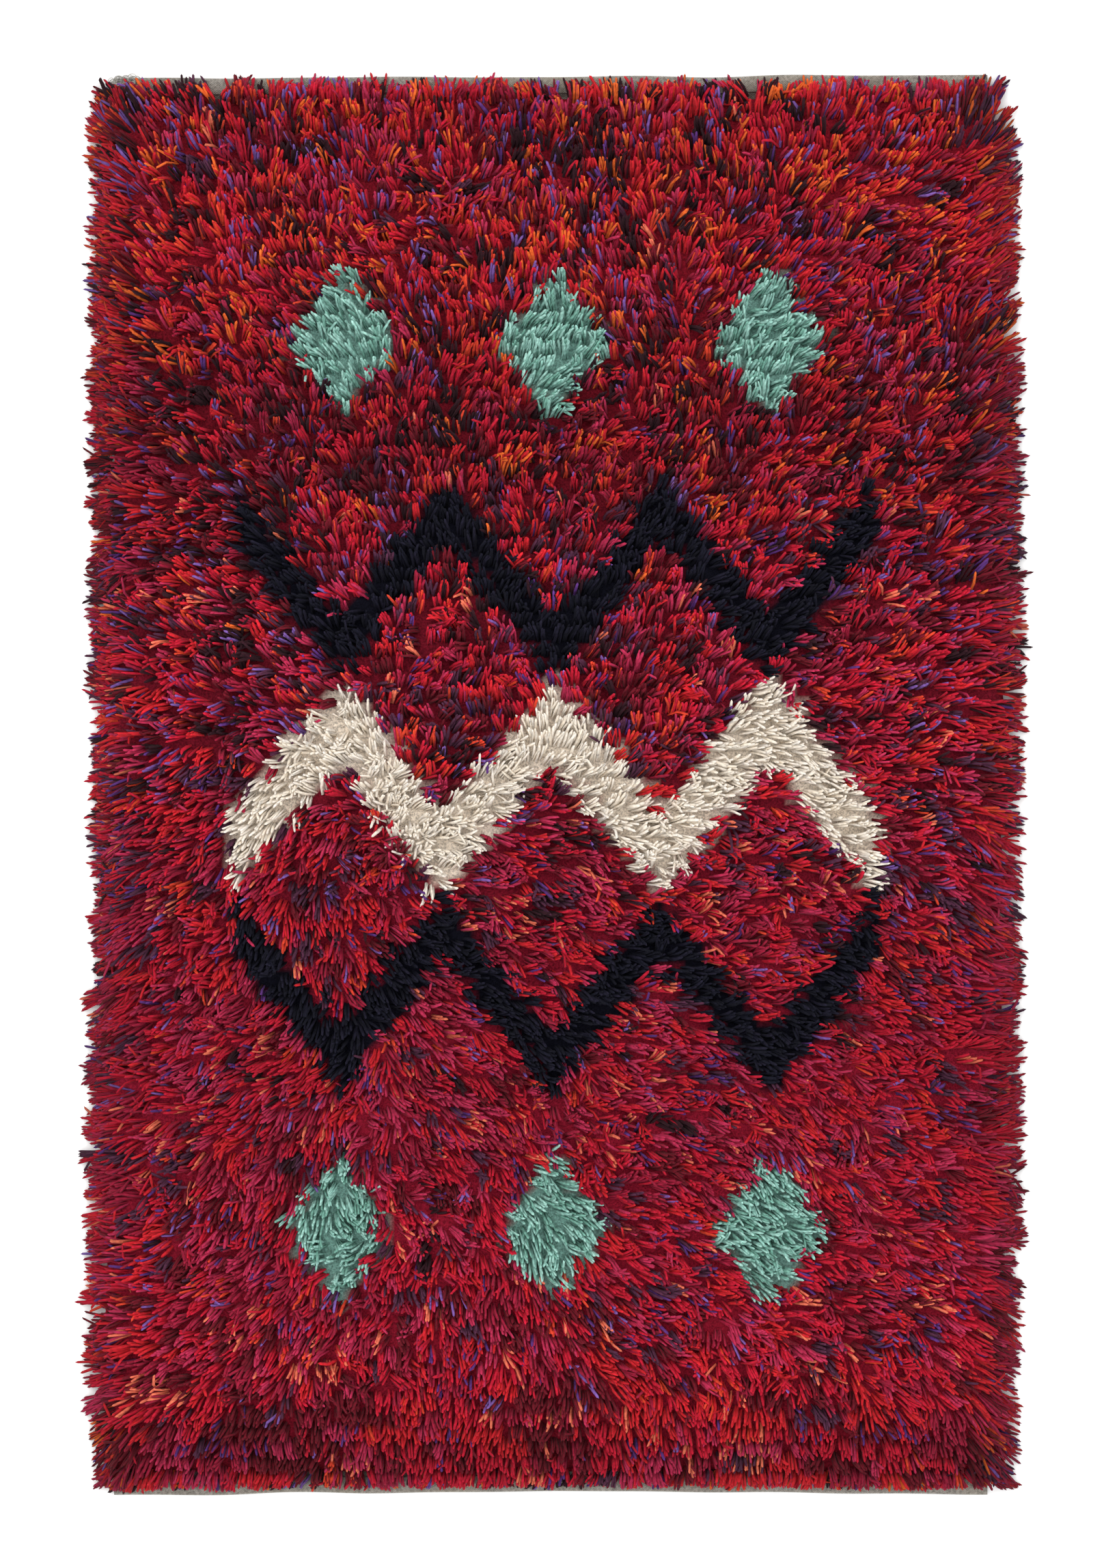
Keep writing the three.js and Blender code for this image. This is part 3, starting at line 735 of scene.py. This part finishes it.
def tube_mesh(name, paths, shares, radii, roll, tints, lengths):
    """One mesh of tapered yarn ends. Each path has a point for each ring, then one for the tip,
    and shares says how far along the yarn they are. The map runs once round each end, and along
    it in turns of the twist."""
    count, points = paths.shape[:2]
    rings = points - 1
    ahead = np.gradient(paths, axis=1)[:, :rings]
    ahead /= np.linalg.norm(ahead, axis=-1, keepdims=True)
    aside = np.cross(ahead, (0.0, 0.0, 1.0))
    aside /= np.maximum(np.linalg.norm(aside, axis=-1, keepdims=True), 1e-9)
    above = np.cross(aside, ahead)
    turns = np.arange(STRAND_SIDES) / STRAND_SIDES
    angle = roll[:, None, None] + 2 * math.pi * turns
    ring = np.cos(angle)[..., None] * aside[:, :, None] + np.sin(angle)[..., None] * above[:, :, None]
    round_points = paths[:, :rings, None] + radii[:, :, None, None] * ring
    places = np.concatenate([round_points.reshape(count, -1, 3), paths[:, rings:]], axis=1)

    block = rings * STRAND_SIDES + 1
    corner = np.arange(count)[:, None, None] * block + np.arange(block - 1).reshape(rings, STRAND_SIDES)
    beside = np.roll(corner, -1, axis=2)
    quads = np.stack([corner[:, :-1], beside[:, :-1], beside[:, 1:], corner[:, 1:]], axis=-1)
    tips = np.broadcast_to((np.arange(count) * block + block - 1)[:, None], (count, STRAND_SIDES))
    caps = np.stack([corner[:, -1], beside[:, -1], tips], axis=-1)

    along = shares * (lengths / TWIST_PITCH)[:, None]
    start_v = np.broadcast_to(along[:, :-2, None], quads.shape[:3])
    end_v = np.broadcast_to(along[:, 1:-1, None], quads.shape[:3])
    start_u = np.broadcast_to(turns, quads.shape[:3])
    end_u = start_u + 1 / STRAND_SIDES
    quad_map = np.stack([np.stack([start_u, end_u, end_u, start_u], -1),
                         np.stack([start_v, start_v, end_v, end_v], -1)], -1)
    cap_turns = np.stack([turns, turns + 1 / STRAND_SIDES, turns + 0.5 / STRAND_SIDES], -1)
    cap_u = np.broadcast_to(cap_turns, caps.shape)
    cap_v = np.broadcast_to(along[:, None, [-2, -2, -1]], caps.shape)
    cap_map = np.stack([cap_u, cap_v], -1)

    mesh = bpy.data.meshes.new(name)
    mesh.vertices.add(count * block)
    mesh.vertices.foreach_set("co", places.astype(np.float32).ravel())
    loops = np.concatenate([quads.ravel(), caps.ravel()])
    mesh.loops.add(len(loops))
    mesh.loops.foreach_set("vertex_index", loops.astype(np.int32))
    sizes = np.repeat([4, 3], [quads.size // 4, caps.size // 3])
    mesh.polygons.add(len(sizes))
    mesh.polygons.foreach_set("loop_start", (sizes.cumsum() - sizes).astype(np.int32))
    mesh.polygons.foreach_set("loop_total", sizes.astype(np.int32))
    mesh.update(calc_edges=True)
    mesh.shade_smooth()
    twist = mesh.uv_layers.new(name="twist")
    flat_map = np.concatenate([quad_map.reshape(-1, 2), cap_map.reshape(-1, 2)])
    twist.uv.foreach_set("vector", flat_map.astype(np.float32).ravel())
    ring_tints = np.repeat(tints[:, :rings], STRAND_SIDES, axis=1)
    paint(mesh, np.concatenate([ring_tints, tints[:, rings:]], axis=1).reshape(-1, 3))
    return mesh


def paint(mesh, tints):
    """Write a linear colour for each point of the mesh, for its material to read."""
    layer = mesh.color_attributes.new("yarn", "FLOAT_COLOR", "POINT")
    shown = np.concatenate([tints, np.ones((len(tints), 1))], axis=1)
    layer.data.foreach_set("color", shown.astype(np.float32).ravel())


def add_piece(mesh, material, replaced):
    piece = bpy.data.objects.new(mesh.name, mesh)
    bpy.context.scene.collection.objects.link(piece)
    mesh.materials.append(material)
    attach(piece, "root")
    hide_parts(replaced)
    return piece


class Shader:
    """A material's node tree, with short calls to add and join nodes."""

    def __init__(self, name):
        self.material = bpy.data.materials.new(name)
        self.material.use_nodes = True
        self.tree = self.material.node_tree
        self.surface = self.tree.nodes["Principled BSDF"]

    def add(self, kind, **settings):
        node = self.tree.nodes.new("ShaderNode" + kind)
        for key, value in settings.items():
            setattr(node, key, value)
        return node

    def join(self, source, target):
        self.tree.links.new(source, target)

    def math(self, operation, first, second):
        node = self.add("Math", operation=operation)
        for socket, value in zip(node.inputs, (first, second)):
            if isinstance(value, (int, float)):
                socket.default_value = value
            else:
                self.join(value, socket)
        return node.outputs[0]

    def noise(self, scale, detail=2.0, roughness=0.5, vector=None):
        node = self.add("TexNoise")
        node.inputs["Scale"].default_value = scale
        node.inputs["Detail"].default_value = detail
        node.inputs["Roughness"].default_value = roughness
        self.join(vector or self.place(), node.inputs["Vector"])
        return node.outputs["Fac"]

    def place(self):
        return self.add("TexCoord").outputs["Object"]

    def remap(self, value, low, high, to_low, to_high):
        node = self.add("MapRange")
        self.join(value, node.inputs["Value"])
        for key, number in (("From Min", low), ("From Max", high), ("To Min", to_low), ("To Max", to_high)):
            node.inputs[key].default_value = number
        return node.outputs["Result"]

    def scaled(self, colour, factor):
        node = self.add("VectorMath", operation="SCALE")
        self.join(colour, node.inputs[0])
        self.join(factor, node.inputs["Scale"])
        return node.outputs[0]

    def blend(self, factor, first, second):
        node = self.add("Mix", data_type="RGBA")
        self.join(factor, node.inputs["Factor"])
        for socket, value in ((node.inputs[6], first), (node.inputs[7], second)):
            if isinstance(value, tuple):
                socket.default_value = (*value, 1.0)
            else:
                self.join(value, socket)
        return node.outputs[2]

    def bump(self, height, distance, strength=1.0):
        node = self.add("Bump")
        node.inputs["Distance"].default_value = distance
        node.inputs["Strength"].default_value = strength
        self.join(height, node.inputs["Height"])
        self.join(node.outputs[0], self.surface.inputs["Normal"])

    def finish(self, colour, **values):
        self.join(colour, self.surface.inputs["Base Color"])
        for key, value in values.items():
            self.surface.inputs[key.replace("_", " ")].default_value = value
        return self.material


def yarn_material(name, ply_shade, fuzz, sheen, tint, glow=0.0):
    """Wool yarn: two plies that wind round each other, with painted shade in the grooves between them,
    and loose fibres over them. Light yarn glows: light that enters it comes out a little way off."""
    shader = Shader(name)
    dye = shader.add("Attribute", attribute_name="yarn").outputs["Color"]
    winding = shader.add("SeparateXYZ")
    shader.join(shader.add("UVMap", uv_map="twist").outputs[0], winding.inputs[0])
    turns = shader.math("ADD", shader.math("MULTIPLY", winding.outputs[0], 2.0), winding.outputs[1])
    ply = shader.math("SINE", shader.math("MULTIPLY", turns, 2 * math.pi), 0.0)
    fibres = shader.noise(1100.0, detail=3.0)
    patches = shader.noise(160.0, detail=1.0)
    # Painted shade: the colour is darker in the grooves where the two plies wind round each other
    light = shader.math("MULTIPLY", shader.remap(ply, -1.0, 1.0, 1.0 - ply_shade, 1.0 + 0.35 * ply_shade),
                        shader.remap(fibres, 0.25, 0.75, 1.0 - fuzz, 1.0 + fuzz))
    light = shader.math("MULTIPLY", light, shader.remap(patches, 0.3, 0.7, 0.9, 1.1))
    relief = shader.math("ADD", shader.math("MULTIPLY", ply, 0.35), fibres)
    shader.bump(relief, 0.5 * MM, 0.7)
    return shader.finish(shader.scaled(dye, light), Roughness=0.88, Specular_IOR_Level=0.12,
                         Sheen_Weight=sheen, Sheen_Roughness=0.5, Sheen_Tint=(*tint, 1.0),
                         Subsurface_Weight=glow, Subsurface_Scale=3 * MM,
                         Subsurface_Radius=(1.0, 1.0, 1.0))


def strand_tints(colours, kinds, y):
    """The colour at each ring of a strand and at its tip, with painted shade and light along it from its
    hidden foot to its tip.
    """
    foot = painted_shades_at_foot(kinds, y)
    tip = np.where(kinds == "ivory", IVORY_PAINTED_TIP_LIGHT, PAINTED_TIP_LIGHT)
    midway = PAINTED_SHADE_MIDWAY["of_foot"] * foot + PAINTED_SHADE_MIDWAY["more"]
    shades = np.stack([foot, midway, np.ones(len(foot)), tip], axis=1)
    return colours[:, None, :] * shades[..., None]


def make_pile():
    draw = np.random.default_rng(31)
    ends = spin_ends(draw, lay_knots(draw))
    colours = yarn_colours(draw, ends)
    paths, lengths = strand_paths(draw, ends)
    steps = RING_STEPS + [PATH_STEPS]
    points = paths[:, steps]
    shares = np.array(steps) / PATH_STEPS
    count = len(lengths)
    radii = YARN_RADIUS * (1 + draw.normal(0, RADIUS_SPREAD, count))
    widths = radii[:, None] * np.array(RING_WIDTHS)
    roll = draw.uniform(0, 2 * math.pi, count)
    materials = {
        "": yarn_material("wool_mottled", ply_shade=0.10, fuzz=0.08, sheen=0.05, tint=(1.0, 0.7, 0.7)),
        "ivory": yarn_material("wool_ivory", ply_shade=0.06, fuzz=0.05, sheen=0.12,
                               tint=(1.0, 1.0, 0.95), glow=0.6),
        "navy": yarn_material("wool_navy", ply_shade=0.20, fuzz=0.25, sheen=0.02, tint=(0.7, 0.75, 1.0)),
        "teal": yarn_material("wool_teal", ply_shade=0.20, fuzz=0.10, sheen=0.08, tint=(0.9, 1.0, 1.0)),
    }
    groups = {f"pile_{name}": (ends["kind"] == name, name) for name in MOTIF_YARNS}
    mottled = ends["kind"] == ""
    limits = np.quantile(ends["y"][mottled], np.arange(1, MOTTLED_PIECES) / MOTTLED_PIECES)
    band = np.digitize(ends["y"], limits)
    for number in range(MOTTLED_PIECES):
        groups[f"pile_mottled_{number + 1}"] = (mottled & (band == number), "")
    for name, (chosen, kind) in groups.items():
        tints = strand_tints(colours[chosen], ends["kind"][chosen], ends["y"][chosen])
        mesh = tube_mesh(name, points[chosen], shares, widths[chosen], roll[chosen], tints,
                         lengths[chosen])
        add_piece(mesh, materials[kind], "pile")


def grid_mesh(name, points):
    """A closed mesh from a grid of points that wraps round in its first direction; the two
    open ends are filled."""
    around, along = points.shape[:2]
    number = np.arange(around * along).reshape(around, along)
    beyond = np.roll(number, -1, axis=0)
    quads = np.stack([number[:, :-1], beyond[:, :-1], beyond[:, 1:], number[:, 1:]], axis=-1)
    caps = [number[::-1, 0].tolist(), number[:, -1].tolist()]
    mesh = bpy.data.meshes.new(name)
    mesh.from_pydata(points.reshape(-1, 3).tolist(), [], quads.reshape(-1, 4).tolist() + caps)
    mesh.shade_smooth()
    return mesh


def make_pile_base():
    """The matted foot of the pile, which shows only in its gaps; its colour is darkened with painted
    shade to stand for the shade there.
    """
    columns, rows = BASE_GRID
    end_line = HALF_LENGTH - HEM_DEPTH - BASE_END_INSET
    y_line = np.linspace(-end_line, end_line, rows)
    x = np.empty((columns, rows))
    for row, y in enumerate(y_line):
        left = MIDDLE_X - side_reach(y, "left") + BASE_INSET + BASE_WAVE * LUMPS(MIDDLE_X, y)
        right = MIDDLE_X + side_reach(y, "right") - BASE_INSET - BASE_WAVE * LUMPS(CLOTH_HIGH[0], y)
        x[:, row] = np.linspace(left, right, columns)
    y = np.broadcast_to(y_line, x.shape)
    bottom = rest_height(x, y) + BASE_CLEARANCE
    low_end = BASE_END_SHARE + (1 - BASE_END_SHARE) * smooth(*BASE_END_DEPTHS, from_ends(x, y))
    top = bottom + BASE_HEIGHT * low_end * edge_share(x, y) * (1 + BASE_LUMPS * LUMPS(x, y))
    places = [np.concatenate([upper, lower[::-1]]) for upper, lower in ((x, x), (y, y), (top, bottom))]
    mesh = grid_mesh("pile_base", np.stack(places, axis=-1))
    tints = mix_weights(YARNS, places[0], places[1]) @ linear(YARNS["srgb"])
    kinds = chart(places[0], places[1])
    for kind, tones in MOTIF_YARNS.items():
        tints[kinds == kind] = PAINTED_MOTIF_BASE_LIGHT * linear(tones[0])
    foot = painted_shades_at_foot(kinds, places[1])
    # Painted shade: the whole layer is darkened, and the feet's painted shade is laid over it
    paint(mesh, (PAINTED_BASE_DARKENING * tints * foot[..., None]).reshape(-1, 3))
    add_piece(mesh, matted_material(), "pile")


def matted_material():
    """Matted wool, mottled with painted shade: dark specks that stand for the gaps where the knots' feet
    stand apart.
    """
    shader = Shader("wool_matted")
    dye = shader.add("Attribute", attribute_name="yarn").outputs["Color"]
    mottle = shader.noise(480.0, detail=5.0, roughness=0.65)
    shader.bump(mottle, 2 * MM)
    # Painted shade: the noise darkens the layer's colour in specks
    speckled = shader.scaled(dye, shader.remap(mottle, 0.35, 0.65, 0.45, 1.25))
    return shader.finish(speckled, Roughness=0.95, Specular_IOR_Level=0.1)


def cloth_material():
    """Heathered wool and linen in a plain weave, with painted shade where its threads dip under one
    another.
    """
    shader = Shader("woven_ground")
    place = shader.add("SeparateXYZ")
    shader.join(shader.place(), place.inputs[0])
    across = shader.math("MULTIPLY", place.outputs[0], 2 * math.pi / WARP_PITCH)
    along = shader.math("MULTIPLY", place.outputs[1], 2 * math.pi / WEFT_PITCH)
    weave = shader.math("MULTIPLY", shader.math("SINE", across, 0.0), shader.math("SINE", along, 0.0))
    heather = shader.noise(420.0, detail=4.0, roughness=0.7)
    stains = shader.noise(14.0, detail=3.0)
    dark, light_grey, stained = (tuple(linear(CLOTH_COLOURS[name])) for name in CLOTH_COLOURS)
    yarn = shader.blend(shader.remap(heather, 0.35, 0.65, 0.0, 1.0), dark, light_grey)
    tinted = shader.blend(shader.remap(stains, 0.45, 0.75, 0.0, 0.4), yarn, stained)
    # Painted shade: darker where the weave's threads dip, lighter where they rise
    light = shader.remap(weave, -1.0, 1.0, 0.84, 1.08)
    relief = shader.math("ADD", shader.math("MULTIPLY", weave, 0.5), heather)
    shader.bump(relief, 0.6 * MM, 0.8)
    return shader.finish(shader.scaled(tinted, light), Roughness=0.9, Specular_IOR_Level=0.25,
                         Sheen_Weight=0.15)


def cloth_loop(x, wave):
    """The cloth's cut edge at one place across it, as a closed loop of points along the rug: it
    lies flat, and turns back over itself at both ends as a hem."""
    half = HEM_TOP / 2
    low, high = half - FOLD_GAP, half + FOLD_GAP
    head = end_reach(x, "head") + HEM_RIPPLE * wave(x, RIPPLE_PLACES["head"])
    foot = end_reach(x, "foot") + HEM_RIPPLE * wave(x, RIPPLE_PLACES["foot"])
    turn = np.linspace(-math.pi / 2, math.pi / 2, HEM_TURN_STEPS)
    around = half * np.stack([np.cos(turn), 1 + np.sin(turn)], axis=-1)
    lying = np.linspace(-foot + half, head - half, CLOTH_ROWS + 2)[1:-1]
    bottom = np.stack([lying, np.zeros_like(lying)], axis=-1)
    top = np.stack([lying[::-1], np.full_like(lying, low)], axis=-1)
    puckered = HEM_TOP - HEM_PUCKER * (1 + wave(x, RIPPLE_PLACES["top"]))
    # Half of a hem's loop, with each place measured inwards from where the cloth turns
    hem = np.array([
        (HEM_PUCKER_PLACE, puckered),
        (HEM_DEPTH - half, HEM_TOP - HEM_EDGE_DROP),
        (HEM_DEPTH - half + HEM_EDGE, high),
        (HEM_DEPTH - half - HEM_EDGE, high),
        (HEM_EDGE, high),
    ])
    at_head = np.stack([head - half - hem[:, 0], hem[:, 1]], axis=-1)
    at_foot = np.stack([-foot + half + hem[::-1, 0], hem[::-1, 1]], axis=-1)
    turned_head = around + (head - half, 0)
    turned_foot = (around * (-1, 1) + (-foot + half, 0))[::-1]
    return np.concatenate([bottom, turned_head, at_head, top, at_foot, turned_foot])


def make_cloth():
    """The ground cloth: one strip of even thickness whose ends are turned back as hems."""
    wave = wave_field(17, RIPPLE_LENGTH, waves=6)
    layers = []
    for x in np.linspace(CLOTH_LOW[0], CLOTH_HIGH[0], CLOTH_COLUMNS):
        loop = cloth_loop(x, wave)
        layers.append(np.column_stack([np.full(len(loop), x), loop]))
    mesh = grid_mesh("cloth_woven", np.stack(layers, axis=1))
    piece = add_piece(mesh, cloth_material(), "ground_cloth")


def make_camera():
    """Straight above the rug; the photograph's frame is 1616 by 2296 pixels of 0.65 mm."""
    pixel = 0.65 * MM
    frame_width, frame_height = 1616, 2296
    rug_middle = (811.2, 1150.0)
    lens, sensor = 85.0, 36.0
    camera = bpy.data.cameras.new("camera")
    camera.lens = lens
    camera.sensor_width = sensor
    camera.sensor_fit = "AUTO"
    seen = bpy.data.objects.new("camera", camera)
    bpy.context.scene.collection.objects.link(seen)
    distance = frame_height * pixel * lens / sensor
    focus_height = 4 * MM
    seen.location = (
        (frame_width / 2 - rug_middle[0]) * pixel,
        (rug_middle[1] - frame_height / 2) * pixel,
        distance + focus_height,
    )
    bpy.context.scene.camera = seen


def make_frayed_corner():
    """Loose ends of the cloth's own yarn, curled round the corner of the hem at the head."""
    draw = np.random.default_rng(5)
    count = FRAY_COUNT
    steps = np.linspace(0, 1, FRAY_RINGS + 1)

    def pick(name):
        return draw.uniform(*FRAY_RANGES[name], count)

    start_x = CLOTH_LOW[0] + pick("from_side") * MM
    start_y = end_reach(start_x, "head") - pick("from_end") * MM
    heading = np.radians(pick("heading"))
    bend = draw.choice([-1, 1], count) * pick("bend")
    length = pick("length") * MM
    turn = heading[:, None] + bend[:, None] * steps
    step = (length / FRAY_RINGS)[:, None]
    x = start_x[:, None] + (np.cos(turn) * step).cumsum(1)
    y = start_y[:, None] + (np.sin(turn) * step).cumsum(1)
    height = pick("height")[:, None] * MM * np.sin(math.pi * steps) ** 2
    z = rest_height(x, y) + FRAY_CLEARANCE + height
    points = np.stack([x, y, z], axis=-1)
    widths = FRAY_RADIUS * np.ones((count, FRAY_RINGS))
    greys = linear(FRAY_COLOUR) * pick("shade")[:, None]
    tints = np.repeat(greys[:, None, :], FRAY_RINGS + 1, axis=1)
    roll = draw.uniform(0, 2 * math.pi, count)
    mesh = tube_mesh("frayed_corner", points, steps, widths, roll, tints, length)
    thread = yarn_material("linen_thread", ply_shade=0.2, fuzz=0.2, sheen=0.05, tint=(1.0, 1.0, 1.0))
    add_piece(mesh, thread, "ground_cloth")


def make_floor():
    mesh = bpy.data.meshes.new("floor")
    reach = 40.0
    drop = -0.2 * MM
    dark, light = (0.92, 0.92, 0.92), (0.95, 0.95, 0.945)
    corners = [(-reach, -reach, drop), (reach, -reach, drop), (reach, reach, drop), (-reach, reach, drop)]
    mesh.from_pydata(corners, [], [(0, 1, 2, 3)])
    floor = bpy.data.objects.new("floor", mesh)
    bpy.context.scene.collection.objects.link(floor)
    shader = Shader("floor_paint")
    grain = shader.noise(3.0)
    colour = shader.blend(grain, dark, light)
    mesh.materials.append(shader.finish(colour, Roughness=0.7))


def add_sun(name, towards, strength, spread, colour):
    """Soft light from far away, so that the whole floor is lit alike."""
    light = bpy.data.lights.new(name, "SUN")
    light.energy = strength
    light.angle = math.radians(spread)
    light.color = colour
    lamp = bpy.data.objects.new(name, light)
    bpy.context.scene.collection.objects.link(lamp)
    lamp.location = towards
    lamp.rotation_euler = (-Vector(towards)).to_track_quat("-Z", "Y").to_euler()


def make_light():
    add_sun("key", towards=(-1.2, 1.5, 2.6), strength=1.3, spread=60, colour=(1.0, 0.985, 0.965))
    add_sun("fill", towards=(1.6, -1.1, 2.4), strength=0.7, spread=80, colour=(0.96, 0.98, 1.0))
    world = bpy.data.worlds.new("studio")
    world.use_nodes = True
    sky = world.node_tree.nodes["Background"]
    sky.inputs["Color"].default_value = (1.0, 1.0, 1.0, 1.0)
    sky.inputs["Strength"].default_value = 0.98
    bpy.context.scene.world = world
    bpy.context.scene.view_settings.view_transform = "Standard"


make_camera()
make_floor()
make_light()
make_cloth()
make_frayed_corner()
make_pile_base()
make_pile()
